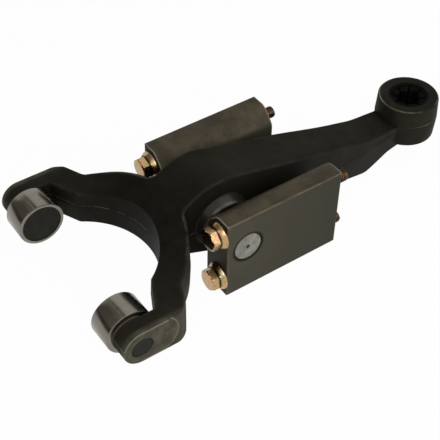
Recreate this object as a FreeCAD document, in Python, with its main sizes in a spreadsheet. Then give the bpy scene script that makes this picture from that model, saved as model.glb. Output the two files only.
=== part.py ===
import FreeCAD, Part
import math
import os
import re
import Sketcher
from FreeCAD import Vector

# Release fork of a truck clutch, standing on its two bearing blocks.
# Lengths are millimetres. Before the last shift, x runs from the pivot axis towards the eye,
# y runs along the pivot axis and z is up, with zero on the pivot axis half way between the blocks.

os.makedirs("parts", exist_ok=True)
doc = FreeCAD.newDocument("clutch_fork")

SIZES = {
    # fits
    "running_gap": 0.05,
    "press_gap": 0.01,
    "side_gap": 0.3,
    # pivot shaft and the fork's hub
    "shaft_radius": 12.5,
    "shaft_recess": 0.3,
    "shaft_bevel": 1.0,
    "centre_hole_radius": 1.3,
    "centre_hole_depth": 2.6,
    "hub_radius": 24.0,
    "hub_end_radius": 21.6,
    "hub_half_length": 29.3,
    "hub_bevel": 1.6,
    "hub_rim_start": 19.6,
    "hub_bore_relief": 2.0,
    "needle_radius": 1.25,
    "needle_cup_wall": 1.0,
    "needle_cup_length": 20.0,
    "needle_cup_lip": 0.9,
    "hub_seal_width": 3.2,
    "hub_seal_depth": 0.4,
    "thrust_washer_thickness": 0.9,
    "thrust_washer_radius": 19.5,
    # bearing blocks
    "block_setback": 18.6,
    "block_length": 105.0,
    "block_inner": 30.3,
    "block_thickness": 26.2,
    "block_below": 43.0,
    "block_height": 72.4,
    "block_bevel": 11.7,
    "block_bevel_round": 9.0,
    "block_edge_break": 0.7,
    # flange bolts
    "bolt_radius": 5.0,
    "bolt_thread_radius": 4.7,
    "bolt_hole_gap": 0.3,
    "bolt_inset": 9.9,
    "bolt_spacing": 43.0,
    "bolt_flange_radius": 11.2,
    "bolt_flange_thickness": 2.4,
    "bolt_head_flats": 16.0,
    "bolt_head_height": 11.4,
    "bolt_head_clearance": 8.985,
    "bolt_crown_inset": 0.4,
    "bolt_crown_height": 1.6,
    "bolt_tip_bevel": 1.0,
    "upper_bolt_length": 117.4,
    "lower_bolt_length": 114.4,
    # rollers and their studs
    "roller_drop": 3.2,
    "roller_radius": 18.7,
    "roller_side_room": 0.8,
    "roller_width": 21.9,
    "roller_bevel": 0.9,
    "roller_pocket_radius": 16.0,
    "roller_pocket_depth": 3.2,
    "roller_needle_radius": 1.4,
    "roller_washer_radius": 15.0,
    "roller_washer_thickness": 0.6,
    "stud_radius": 8.7,
    "stud_head_gap": 0.45,
    "stud_head_thickness": 2.5,
    "stud_end_recess": 0.25,
    "stud_bevel": 0.8,
    # prongs and the mouth between them
    "nose_radius": 14.6,
    "prong_inner": 75.5,
    "prong_thickness": 16.5,
    "pad_milling": 1.0,
    "yoke_radius": 83.0,
    "mouth_radius": 60.0,
    "kink_angle": 59.0,
    "corner_setback": 19.6,
    "tip_clearance": 18.0,
    "neck_half_width": 22.6,
    "waist_angle": 55.7,
    "heel_setback": 37.1,
    "die_draft": 2.5,
    "neck_round": 5.0,
    "waist_round": 7.0,
    "heel_round": 18.0,
    "corner_round": 3.0,
    "kink_round": 6.0,
    "edge_round": 1.0,
    "root_overrun": 8.0,
    "forging_above": 60.0,
    "forging_below": 40.0,
    "cut_margin": 3.0,
    # side view of the fork, from the pivot axis
    "rise_reach": 66.2,
    "rise_round": 60.0,
    "crest_reach": 7.0,
    "crest_height": 41.0,
    "crest_round": 46.0,
    "dip_reach": 157.9,
    "dip_depth": 1.2,
    "dip_round": 60.0,
    "belly_start": 36.0,
    "belly_start_round": 15.0,
    "belly_end": 8.0,
    "belly_depth": 29.5,
    "belly_round": 20.0,
    "keel_start": 128.0,
    "keel_start_depth": 32.3,
    "keel_start_round": 60.0,
    "keel_end": 155.0,
    "keel_end_depth": 36.5,
    "keel_end_round": 12.0,
    "keel_top": 178.0,
    "keel_top_depth": 25.0,
    "keel_top_round": 15.0,
    # eye and its bush
    "eye_reach": 207.0,
    "eye_top": 14.8,
    "eye_height": 35.0,
    "eye_end_radius": 25.4,
    "eye_mid_radius": 26.4,
    "eye_round": 1.4,
    "eye_bore_radius": 16.7,
    "sleeve_wall": 2.1,
    "sleeve_recess": 0.9,
    "insert_gap": 0.02,
    "insert_bore_radius": 9.2,
    "insert_recess": 1.6,
    "insert_mouth_bevel": 1.8,
    "slot_width": 1.9,
    "slot_depth": 15.0,
}

# stations along the arm: distance from the pivot, half width at the top edge, height of the parting ridge
STATIONS = {
    "shoulder": (45.0, 19.4, -6.0),
    "upper": (90.0, 17.6, -10.0),
    "middle": (128.0, 15.2, -12.8),
    "dip": (155.0, 14.7, -10.6),
    "collar": (180.0, 13.0, -7.0),
    "end": (203.0, 12.6, -4.0),
}
for station, (reach, half, ridge) in STATIONS.items():
    SIZES[station + "_station_reach"] = reach
    SIZES[station + "_station_half"] = half
    SIZES[station + "_station_ridge"] = ridge
SIZES["arm_ridge_flare"] = 1.9

# sizes that follow from the ones above
DERIVED = {
    "bolt_out": "block_inner + block_thickness - bolt_inset",
    "bolt_corner": "bolt_out - bolt_head_flats / sqrt(3)",
    "bolt_head_end": "block_setback + bolt_head_height + bolt_head_clearance",
    "roller_reach": "bolt_head_end + sqrt(yoke_radius ^ 2 - bolt_corner ^ 2)",
    "roller_inner": "prong_inner - roller_side_room - roller_width",
    "prong_outer": "prong_inner + prong_thickness",
    "prong_pad": "prong_outer - pad_milling",
    "upper_bolt": "block_height / 2 - block_below + bolt_spacing / 2",
    "lower_bolt": "block_height / 2 - block_below - bolt_spacing / 2",
    "prong_top": "nose_radius - roller_drop",
    "prong_bottom": "-nose_radius - roller_drop",
    "waist_x": "yoke_radius * cos(waist_angle) - roller_reach",
    "waist_y": "yoke_radius * sin(waist_angle)",
    "kink_x": "mouth_radius * cos(kink_angle) - roller_reach",
    "kink_y": "mouth_radius * sin(kink_angle)",
    "neck_x": "sqrt(yoke_radius ^ 2 - neck_half_width ^ 2) - roller_reach",
    "heel_x": "heel_setback - roller_reach",
    "heel_turn": "atan((prong_outer - waist_y) / (waist_x - heel_x))",
    "heel_tip": "heel_x + pad_milling * (waist_x - heel_x) / (prong_outer - waist_y)",
    "corner_x": "corner_setback - roller_reach",
    "middle_of_eye": "eye_top - eye_height / 2",
    "cup_radius": "shaft_radius + running_gap + 2 * needle_radius + needle_cup_wall",
    "cup_outer_end": "hub_half_length - hub_seal_depth - hub_seal_width",
    "cup_inner_end": "cup_outer_end - needle_cup_length",
}
INSERT_SLOTS = 8

sheet = doc.addObject("Spreadsheet::Sheet", "Dims")
for row, (name, number) in enumerate(SIZES.items(), start=1):
    sheet.set("A%d" % row, name.replace("_", " "))
    sheet.set("B%d" % row, str(number))
    sheet.setAlias("B%d" % row, name)
doc.recompute()


def linked(text):
    """Turns the words of a size formula into references to the sheet's cells."""
    def cell(word):
        name = word.group()
        if name in DERIVED:
            return "(%s)" % linked(DERIVED[name])
        return "Dims." + name if name in SIZES else name
    return re.sub(r"[a-z_]{4,}", cell, text)


def value(text):
    return float(sheet.evalExpression(linked(text)))


# the part's own frame: origin under the middle of its outline, on the face that it stands on
SHIFT_X = "(roller_reach + roller_radius - eye_reach - eye_mid_radius) / 2"
SHIFT_Z = "block_below"


def place(item, x="0", y="0", z="0"):
    item.setExpression("Placement.Base.x", linked("(%s) + %s" % (x, SHIFT_X)))
    item.setExpression("Placement.Base.y", linked(y))
    item.setExpression("Placement.Base.z", linked("(%s) + %s" % (z, SHIFT_Z)))


def new_body(name, x="0", y="0", z="0"):
    body = doc.addObject("PartDesign::Body", name)
    body.Label = name
    place(body, x, y, z)
    return body


def sketch_on(body, role, name, offset=("0", "0", "0")):
    """Sketch on one of the body's own planes, moved by an offset in the plane's own axes."""
    sketch = body.newObject("Sketcher::SketchObject", name)
    plane = [item for item in body.Origin.OriginFeatures if item.Role == role][0]
    sketch.AttachmentSupport = [(plane, "")]
    sketch.MapMode = "FlatFace"
    for axis, text in zip("xyz", offset):
        if text != "0":
            sketch.setExpression("AttachmentOffset.Base." + axis, linked(text))
    return sketch


def tie(sketch, kind, first, second, text):
    number = sketch.addConstraint(Sketcher.Constraint(kind, -1, 1, first, second, value(text)))
    sketch.setExpression("Constraints[%d]" % number, linked(text))


def outline(sketch, corners, arcs=None):
    """Closed outline. A corner is (x, y), or (x, y, radius) where it is rounded.

    Sides are straight, except the ones that arcs names by the number of their first corner, as
    (centre x, centre y, radius, left-handed turn). A corner beside such an arc gets its x from it.
    """
    arcs = arcs or {}
    count = len(corners)
    spots = [Vector(value(corner[0]), value(corner[1]), 0) for corner in corners]
    starts = list(spots)
    ends = list(spots)
    for index, corner in enumerate(corners):
        if len(corner) == 3:
            back = (spots[index - 1] - spots[index]).normalize()
            ahead = (spots[(index + 1) % count] - spots[index]).normalize()
            reach = value(corner[2]) / math.tan(back.getAngle(ahead) / 2)
            ends[index] = spots[index] + back * reach
            starts[index] = spots[index] + ahead * reach
    sides = [outline_side(sketch, starts[index], ends[(index + 1) % count], arcs.get(index))
             for index in range(count)]
    for index, corner in enumerate(corners):
        before, tail = sides[index - 1]
        after, head = sides[index]
        if len(corner) == 3:
            outline_round(sketch, spots[index], corner, before, after, ends[index], starts[index])
            continue
        sketch.addConstraint(Sketcher.Constraint("Coincident", before, tail, after, 3 - head))
        arc = arcs.get(index, arcs.get((index - 1) % count))
        flat = arc and abs(spots[index].x - value(arc[0])) < abs(spots[index].y - value(arc[1])) / 4
        if not arc or flat:
            tie(sketch, "DistanceX", after, 3 - head, corner[0])
        if not flat:
            tie(sketch, "DistanceY", after, 3 - head, corner[1])


def outline_side(sketch, start, end, arc):
    """Adds one side and returns its number and which of its points is its far end."""
    if arc is None:
        return sketch.addGeometry(Part.LineSegment(start, end)), 2
    centre = Vector(value(arc[0]), value(arc[1]), 0)
    angles = [math.atan2(spot.y - centre.y, spot.x - centre.x) for spot in (start, end)]
    if not arc[3]:
        angles.reverse()
    ring = Part.Circle(centre, Vector(0, 0, 1), value(arc[2]))
    number = sketch.addGeometry(Part.ArcOfCircle(ring, *angles))
    tie(sketch, "DistanceX", number, 3, arc[0])
    tie(sketch, "DistanceY", number, 3, arc[1])
    rule = sketch.addConstraint(Sketcher.Constraint("Radius", number, value(arc[2])))
    sketch.setExpression("Constraints[%d]" % rule, linked(arc[2]))
    return number, 2 if arc[3] else 1


def outline_round(sketch, spot, corner, before, after, leave, enter):
    """Rounds one corner with an arc that touches both sides."""
    back = (leave - spot).normalize()
    ahead = (enter - spot).normalize()
    inward = (back + ahead).normalize()
    radius = value(corner[2])
    centre = spot + inward * (radius / math.sin(back.getAngle(ahead) / 2))
    angles = [math.atan2(end.y - centre.y, end.x - centre.x) for end in (leave, enter)]
    left_turn = (ahead.cross(back)).z > 0
    if not left_turn:
        angles.reverse()
    first, last = (1, 2) if left_turn else (2, 1)
    arc = sketch.addGeometry(Part.ArcOfCircle(Part.Circle(centre, Vector(0, 0, 1), radius), *angles))
    mark = sketch.addGeometry(Part.Point(spot), True)
    sketch.addConstraint(Sketcher.Constraint("Tangent", before, 2, arc, first))
    sketch.addConstraint(Sketcher.Constraint("Tangent", arc, last, after, 1))
    sketch.addConstraint(Sketcher.Constraint("PointOnObject", mark, 1, before))
    sketch.addConstraint(Sketcher.Constraint("PointOnObject", mark, 1, after))
    tie(sketch, "DistanceX", mark, 1, corner[0])
    tie(sketch, "DistanceY", mark, 1, corner[1])
    rule = sketch.addConstraint(Sketcher.Constraint("Radius", arc, radius))
    sketch.setExpression("Constraints[%d]" % rule, linked(corner[2]))


def circle(sketch, x, y, radius):
    number = sketch.addGeometry(Part.Circle(Vector(value(x), value(y), 0), Vector(0, 0, 1),
                                            value(radius)))
    tie(sketch, "DistanceX", number, 3, x)
    tie(sketch, "DistanceY", number, 3, y)
    rule = sketch.addConstraint(Sketcher.Constraint("Radius", number, value(radius)))
    sketch.setExpression("Constraints[%d]" % rule, linked(radius))


def finish_feature(body, feature):
    doc.recompute()
    body.Tip = feature
    return feature


def revolve(body, name, role, corners, axis="V_Axis", offset=("0", "0", "0"), cut=False):
    sketch = sketch_on(body, role, name + "_profile", offset)
    outline(sketch, corners)
    kind = "PartDesign::Groove" if cut else "PartDesign::Revolution"
    feature = body.newObject(kind, name)
    feature.Profile = sketch
    feature.ReferenceAxis = (sketch, [axis])
    feature.Angle = 360
    return finish_feature(body, feature)


def pocket_through(body, name, sketch):
    before = body.Shape.Volume
    feature = body.newObject("PartDesign::Pocket", name)
    feature.Profile = sketch
    feature.Type = 1
    feature.Midplane = True
    finish_feature(body, feature)
    if feature.Shape.Volume >= before:
        raise RuntimeError(name + " cuts nothing")
    return feature


def edges_where(shape, test):
    return ["Edge%d" % (number + 1) for number, edge in enumerate(shape.Edges) if test(edge)]


def dress(body, kind, name, base, edges, size_name, text):
    feature = body.newObject("PartDesign::" + kind, name)
    feature.Base = (base, edges)
    feature.setExpression(size_name, linked(text))
    return finish_feature(body, feature)


def middle(edge):
    return edge.valueAt((edge.FirstParameter + edge.LastParameter) / 2)


def near(first, second, slack=1e-4):
    return abs(first - second) < slack


SIDES = {"front": -1, "rear": 1}
pieces = []


# bearing block: sawn steel bar with a broad bevel along its upper inner edge

def bearing_block(side_name, side):
    body = new_body(side_name + "_bearing_block")
    inner = "%d * block_inner" % side
    outer = "%d * (block_inner + block_thickness)" % side
    bevelled = "%d * (block_inner + block_bevel)" % side
    top = "block_height - block_below"
    profile = sketch_on(body, "YZ_Plane", body.Name + "_section", ("0", "0", "-block_setback"))
    outline(profile, [(inner, "-block_below"), (outer, "-block_below"), (outer, top),
                      (bevelled, top), (inner, top + " - block_bevel")])
    bar = body.newObject("PartDesign::Pad", body.Name + "_bar")
    bar.Profile = profile
    bar.setExpression("Length", linked("block_length"))
    finish_feature(body, bar)

    bevel_corners = [(value(inner), value(top + " - block_bevel")), (value(bevelled), value(top))]
    bevel_edges = edges_where(bar.Shape, lambda edge: any(
        near(middle(edge).y, y) and near(middle(edge).z, z) for y, z in bevel_corners))
    rounded = dress(body, "Fillet", body.Name + "_bevel_round", bar, bevel_edges, "Radius",
                    "block_bevel_round")

    outer_face = value("block_inner + block_thickness")
    rim = edges_where(rounded.Shape, lambda edge: near(abs(middle(edge).y), outer_face))
    dress(body, "Chamfer", body.Name + "_edge_break", rounded, rim, "Size", "block_edge_break")

    bore = sketch_on(body, "XZ_Plane", body.Name + "_shaft_hole")
    circle(bore, "0", "0", "shaft_radius + press_gap")
    pocket_through(body, body.Name + "_shaft_bore", bore)
    holes = sketch_on(body, "YZ_Plane", body.Name + "_bolt_circles")
    for height in ("upper_bolt", "lower_bolt"):
        circle(holes, "%d * bolt_out" % side, height, "bolt_radius + bolt_hole_gap")
    pocket_through(body, body.Name + "_bolt_holes", holes)
    pieces.append(body)


# pivot shaft: ground bar with a groove at each end that its block's upper bolt passes through

def pivot_shaft():
    body = new_body("pivot_shaft")
    half = "(block_inner + block_thickness - shaft_recess)"
    bar = [("centre_hole_radius", "-%s" % half), ("shaft_radius - shaft_bevel", "-%s" % half),
           ("shaft_radius", "-%s + shaft_bevel" % half), ("shaft_radius", "%s - shaft_bevel" % half),
           ("shaft_radius - shaft_bevel", half), ("centre_hole_radius", half),
           ("0", "%s - centre_hole_depth" % half), ("0", "-%s + centre_hole_depth" % half)]
    revolve(body, "shaft_bar", "XY_Plane", bar)
    notches = sketch_on(body, "YZ_Plane", "shaft_notch_circles")
    for side in SIDES.values():
        circle(notches, "%d * bolt_out" % side, "upper_bolt", "bolt_radius + bolt_hole_gap")
    pocket_through(body, "shaft_notches", notches)
    pieces.append(body)


# flange bolt: cold headed, with a hexagon on a coned flange and a thread that stands out of its block

def flange_bolt(side_name, side, level):
    name = "%s_%s_bolt" % (side_name, level)
    length = level + "_bolt_length"
    body = new_body(name, "-block_setback", "%d * bolt_out" % side, level + "_bolt")
    cone_top = "-bolt_flange_thickness - bolt_flange_thickness"
    shank = [("0", "0"), ("0", "bolt_flange_radius"),
             ("-bolt_flange_thickness / 2", "bolt_flange_radius"),
             (cone_top, "bolt_head_flats / 2"), (cone_top, "0")]
    revolve(body, name + "_flange", "XY_Plane", shank, "H_Axis")
    stem = [("0", "0"), (length, "0"), (length, "bolt_thread_radius - bolt_tip_bevel"),
            (length + " - bolt_tip_bevel", "bolt_thread_radius"), ("block_length", "bolt_thread_radius"),
            ("block_length", "bolt_radius"), ("0", "bolt_radius")]
    revolve(body, name + "_stem", "XY_Plane", stem, "H_Axis")
    hexagon = sketch_on(body, "YZ_Plane", name + "_hexagon")
    corners = []
    for index in range(6):
        angle = math.radians(60 * index + 30)
        corners.append(("bolt_head_flats / sqrt(3) * %.6f" % math.cos(angle),
                        "bolt_head_flats / sqrt(3) * %.6f" % math.sin(angle)))
    outline(hexagon, corners)
    head = body.newObject("PartDesign::Pad", name + "_head")
    head.Profile = hexagon
    head.Reversed = True
    head.setExpression("Length", linked("bolt_head_height"))
    finish_feature(body, head)
    wide = "bolt_head_flats / sqrt(3) + cut_margin"
    crown = [("-bolt_head_height", "bolt_head_flats / 2 - bolt_crown_inset"),
             ("-bolt_head_height + bolt_crown_height", wide), ("-bolt_head_height", wide)]
    revolve(body, name + "_crown", "XY_Plane", crown, "H_Axis", cut=True)
    pieces.append(body)


# fork lever: one forging, with a machined hub, eye and prong tips

def fork_forging(body):
    far = "-roller_reach - tip_clearance"
    half = [("root_overrun", "neck_half_width"), ("neck_x", "neck_half_width"), ("waist_x", "waist_y"),
            ("heel_x", "prong_outer"), (far, "prong_outer"), (far, "prong_inner"),
            ("corner_x", "prong_inner"), ("kink_x", "kink_y")]
    other = [(x, "-(%s)" % y) for x, y in reversed(half)]
    count = len(half)
    yoke = ("-roller_reach", "0", "yoke_radius", True)
    arcs = {1: yoke, count - 1: ("-roller_reach", "0", "mouth_radius", False), 2 * count - 3: yoke}
    plan = sketch_on(body, "XY_Plane", "fork_plan", ("0", "0", "-roller_drop"))
    outline(plan, half + other, arcs)
    forging = body.newObject("PartDesign::Pad", "fork_forging")
    forging.Profile = plan
    forging.SideType = "Two sides"
    forging.setExpression("Length", linked("forging_above"))
    forging.setExpression("Length2", linked("forging_below"))
    forging.setExpression("TaperAngle", linked("-die_draft"))
    forging.setExpression("TaperAngle2", linked("-die_draft"))
    return finish_feature(body, forging)


def round_upright_edges(body, base):
    """Rounds the upright corners of the fork's outline, each kind with its own radius."""
    part_line = value("-roller_drop")
    corners = {
        "neck_round": ("neck_x", "neck_half_width"),
        "waist_round": ("waist_x", "waist_y"),
        "corner_round": ("corner_x", "prong_inner"),
        "kink_round": ("kink_x", "kink_y"),
    }
    for radius, (x, y) in corners.items():
        def at_corner(edge):
            ends = [edge.Vertexes[0].Point, edge.Vertexes[-1].Point]
            return any(near(end.z, part_line) and near(end.x, value(x), 0.01)
                       and near(abs(end.y), value(y), 0.01) for end in ends) and (
                           abs(ends[0].z - ends[1].z) > value("nose_radius"))
        edges = edges_where(base.Shape, at_corner)
        base = dress(body, "Fillet", "fork_" + radius, base, edges, "Radius", radius)


def root_trim(body):
    """Trims the fork square at the pivot axis, where the arm joins it."""
    end = sketch_on(body, "XY_Plane", "root_end")
    outline(end, [("0", "-2 * neck_half_width"), ("2 * root_overrun", "-2 * neck_half_width"),
                  ("2 * root_overrun", "2 * neck_half_width"), ("0", "2 * neck_half_width")])
    return pocket_through(body, "root_trim", end)


def arm_section(body, number, reach, points):
    sketch = sketch_on(body, "YZ_Plane", "arm_section_%d" % number, ("0", "0", reach))
    outline(sketch, points + [("-(%s)" % y, z) for y, z in reversed(points)])
    return sketch


def arm_forging(body):
    slope = "tan(die_draft)"
    above = "forging_above - roller_drop"
    below = "-forging_below - roller_drop"
    first = [("neck_half_width - forging_below * %s" % slope, below),
             ("neck_half_width", "-roller_drop"),
             ("neck_half_width - forging_above * %s" % slope, above)]
    sections = [arm_section(body, 0, "0", first)]
    for number, station in enumerate(STATIONS, start=1):
        half = station + "_station_half"
        ridge = station + "_station_ridge"
        points = [("%s - arm_ridge_flare" % half, below),
                  ("%s + arm_ridge_flare" % half, ridge),
                  ("%s - arm_ridge_flare" % half, above)]
        sections.append(arm_section(body, number, station + "_station_reach", points))
    loft = body.newObject("PartDesign::AdditiveLoft", "arm_forging")
    loft.Profile = sections[0]
    loft.Sections = sections[1:]
    loft.Ruled = False
    return finish_feature(body, loft)


def side_trim(body):
    """Trims the drafted block of fork and arm to the lever's side view."""
    side = sketch_on(body, "XZ_Plane", "lever_side")
    frame = [("-roller_reach - 3 * nose_radius", "-2 * forging_below"),
             ("eye_reach + eye_mid_radius", "-2 * forging_below"),
             ("eye_reach + eye_mid_radius", "2 * forging_above"),
             ("-roller_reach - 3 * nose_radius", "2 * forging_above")]
    outline(side, frame)
    view = [("-roller_reach", "prong_top"), ("-roller_reach", "prong_bottom"),
            ("-belly_start", "prong_bottom", "belly_start_round"),
            ("-belly_end", "-belly_depth", "belly_round"),
            ("keel_start", "-keel_start_depth", "keel_start_round"),
            ("keel_end", "-keel_end_depth", "keel_end_round"),
            ("keel_top", "-keel_top_depth", "keel_top_round"),
            ("eye_reach", "eye_top - eye_height"), ("eye_reach", "-dip_depth"),
            ("dip_reach", "-dip_depth", "dip_round"),
            ("-crest_reach", "crest_height", "crest_round"),
            ("-rise_reach", "prong_top", "rise_round")]
    outline(side, view, {0: ("-roller_reach", "-roller_drop", "nose_radius", True)})
    return pocket_through(body, "side_trim", side)


def round_long_edges(body):
    """Rounds the edges where the forging's drafted sides meet its top and its underside."""
    shape = body.Tip.Shape
    ridge = value("-roller_drop")
    arm_end = value("end_station_reach - edge_round")
    hub_start = -value("belly_end - 2 * edge_round")
    wanted = []
    for number, edge in enumerate(shape.Edges):
        spot = middle(edge)
        leans = sorted(sideways_lean(face) for face in shape.ancestorsOfType(edge, Part.Face))
        if leans[0] > 0.01 or leans[-1] < 0.05 or spot.x > arm_end:
            continue
        # the arm's lower edges run on smoothly from the fork's, and get the rounding from them
        if spot.z > ridge or spot.x < hub_start:
            wanted.append("Edge%d" % (number + 1))
    dress(body, "Fillet", "long_edge_round", body.Tip, wanted, "Radius", "edge_round")


def sideways_lean(face):
    """Largest part along y of a face's normal, over a few places on it."""
    first_u, last_u, first_v, last_v = face.ParameterRange
    shares = (0.2, 0.5, 0.8)
    return max(abs(face.normalAt(first_u + u * (last_u - first_u), first_v + v * (last_v - first_v)).y)
               for u in shares for v in shares)


def mill_pads(body):
    """Mills the outer faces of the prongs flat."""
    pads = sketch_on(body, "XY_Plane", "prong_pads")
    for side in SIDES.values():
        near_y = "%d * prong_pad" % side
        far_y = "%d * 2 * prong_outer" % side
        corners = [("-2 * roller_reach", near_y), ("0", near_y), ("0", far_y), ("-2 * roller_reach", far_y)]
        outline(pads, corners if side > 0 else corners[::-1])
    return pocket_through(body, "milled_pads", pads)


def trim_heels(body):
    """Rounds the heel of each prong, where its milled face meets its slanting side."""
    before = body.Shape.Volume
    heels = sketch_on(body, "XY_Plane", "heel_trim")
    for side in SIDES.values():
        y = "%d * " % side
        middle_x = "heel_tip - heel_round * tan(heel_turn / 2)"
        middle_y = y + "(prong_pad - heel_round)"
        reach = "(heel_round + cut_margin)"
        corners = [(middle_x, y + "prong_pad"),
                   (middle_x + " + heel_round * sin(heel_turn)",
                    y + "(prong_pad - heel_round + heel_round * cos(heel_turn))"),
                   ("%s + %s * sin(heel_turn)" % (middle_x, reach),
                    y + "(prong_pad - heel_round + %s * cos(heel_turn))" % reach),
                   ("heel_tip + cut_margin", y + "(prong_outer + cut_margin)"),
                   (middle_x, y + "(prong_outer + cut_margin)")]
        arc = (middle_x, middle_y, "heel_round")
        if side > 0:
            outline(heels, corners, {0: (*arc, False)})
        else:
            outline(heels, corners, {0: (*arc, True)})
    trimmed = pocket_through(body, "heel_trim", heels)
    if trimmed.Shape.Volume >= before:
        raise RuntimeError("the heels aren't rounded")


def hub_boss(body):
    rim = [("hub_radius", "hub_rim_start"), ("hub_end_radius", "hub_half_length - hub_bevel"),
           ("hub_end_radius - hub_bevel", "hub_half_length"), ("0", "hub_half_length")]
    other = [(radius, "-(%s)" % y) for radius, y in reversed(rim)]
    return revolve(body, "hub_boss", "XY_Plane", rim + other)


def eye_boss(body):
    corners = [("0", "eye_top"), ("eye_end_radius", "eye_top", "eye_round"),
               ("eye_mid_radius", "middle_of_eye"),
               ("eye_end_radius", "eye_top - eye_height", "eye_round"), ("0", "eye_top - eye_height")]
    return revolve(body, "eye_boss", "XZ_Plane", corners, "V_Axis", ("eye_reach", "0", "0"))


def hub_bore(body):
    wide = "cup_radius + press_gap"
    narrow = "cup_radius - hub_bore_relief"
    end = "2 * hub_half_length"
    corners = [("0", end), (wide, end), (wide, "cup_inner_end"), (narrow, "cup_inner_end"),
               (narrow, "-cup_inner_end"), (wide, "-cup_inner_end"), (wide, "-" + end), ("0", "-" + end)]
    return revolve(body, "hub_bore", "XY_Plane", corners, cut=True)


def stud_holes(body):
    for name, side in SIDES.items():
        inside = "%d * (prong_inner - cut_margin)" % side
        outside = "%d * (prong_pad + cut_margin)" % side
        corners = [("0", inside), ("stud_radius + press_gap", inside), ("stud_radius + press_gap", outside),
                   ("0", outside)]
        if side < 0:
            corners.reverse()
        revolve(body, name + "_stud_hole", "XY_Plane", corners, offset=("-roller_reach", "0", "-roller_drop"),
                cut=True)


def eye_bore(body):
    top = "eye_top + cut_margin"
    bottom = "eye_top - eye_height - cut_margin"
    corners = [("0", top), ("eye_bore_radius", top), ("eye_bore_radius", bottom), ("0", bottom)]
    return revolve(body, "eye_bore", "XZ_Plane", corners, "V_Axis", ("eye_reach", "0", "0"), cut=True)


def fork_lever():
    body = new_body("fork_lever")
    round_upright_edges(body, fork_forging(body))
    root_trim(body)
    arm_forging(body)
    side_trim(body)
    mill_pads(body)
    round_long_edges(body)
    trim_heels(body)
    hub_boss(body)
    eye_boss(body)
    hub_bore(body)
    stud_holes(body)
    eye_bore(body)
    pieces.append(body)


# hub bearings: needles in drawn cups, with a lip seal and a thrust washer outside each

def ring(body, name, inner, outer, start, end):
    corners = [(inner, start), (outer, start), (outer, end), (inner, end)]
    return revolve(body, name, "XY_Plane", corners)


def needle_set(name, x, y, z, length, needle, pitch):
    """As many needles as have room round the y axis, all of them solids of one body."""
    count = int(math.pi / math.asin(value("(%s + running_gap) / (%s)" % (needle, pitch))))
    body = new_body(name, x, y, z)
    corners = [("0", "-(%s) / 2" % length), (needle, "-(%s) / 2" % length), (needle, "(%s) / 2" % length),
               ("0", "(%s) / 2" % length)]
    first = revolve(body, name + "_first", "XY_Plane", corners, offset=(pitch, "0", "0"))
    pattern = body.newObject("PartDesign::PolarPattern", name + "_pattern")
    pattern.Originals = [first]
    axis = [item for item in body.Origin.OriginFeatures if item.Role == "Y_Axis"][0]
    pattern.Axis = (axis, [""])
    pattern.Angle = 360
    pattern.Occurrences = count
    finish_feature(body, pattern)
    pieces.append(body)


def hub_bearing(side_name, side):
    cup = new_body(side_name + "_needle_cup")
    inner = "(cup_radius - needle_cup_wall)"
    mouth = "shaft_radius + 4 * running_gap"
    ends = ("cup_inner_end", "cup_outer_end")
    corners = [(mouth, ends[0]), ("cup_radius", ends[0]), ("cup_radius", ends[1]), (mouth, ends[1]),
               (mouth, ends[1] + " - needle_cup_lip"), (inner, ends[1] + " - needle_cup_lip"),
               (inner, ends[0] + " + needle_cup_lip"), (mouth, ends[0] + " + needle_cup_lip")]
    if side < 0:
        corners = [(radius, "-(%s)" % y) for radius, y in reversed(corners)]
    revolve(cup, cup.Name + "_shell", "XY_Plane", corners)
    pieces.append(cup)
    needle_set(side_name + "_hub_needles", "0", "%d * (%s + %s) / 2" % (side, *ends), "0",
               "needle_cup_length - 2 * needle_cup_lip - 4 * running_gap", "needle_radius - running_gap / 2",
               "shaft_radius + running_gap / 2 + needle_radius")
    seal = new_body(side_name + "_hub_seal")
    ring(seal, seal.Name + "_ring", "shaft_radius + running_gap", "cup_radius",
         "%d * cup_outer_end" % side, "%d * (cup_outer_end + hub_seal_width)" % side)
    pieces.append(seal)
    washer = new_body(side_name + "_thrust_washer")
    ring(washer, washer.Name + "_ring", "shaft_radius + running_gap", "thrust_washer_radius",
         "%d * (hub_half_length + running_gap)" % side,
         "%d * (hub_half_length + running_gap + thrust_washer_thickness)" % side)
    pieces.append(washer)


# rollers, each on a headed stud pressed into its prong

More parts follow.
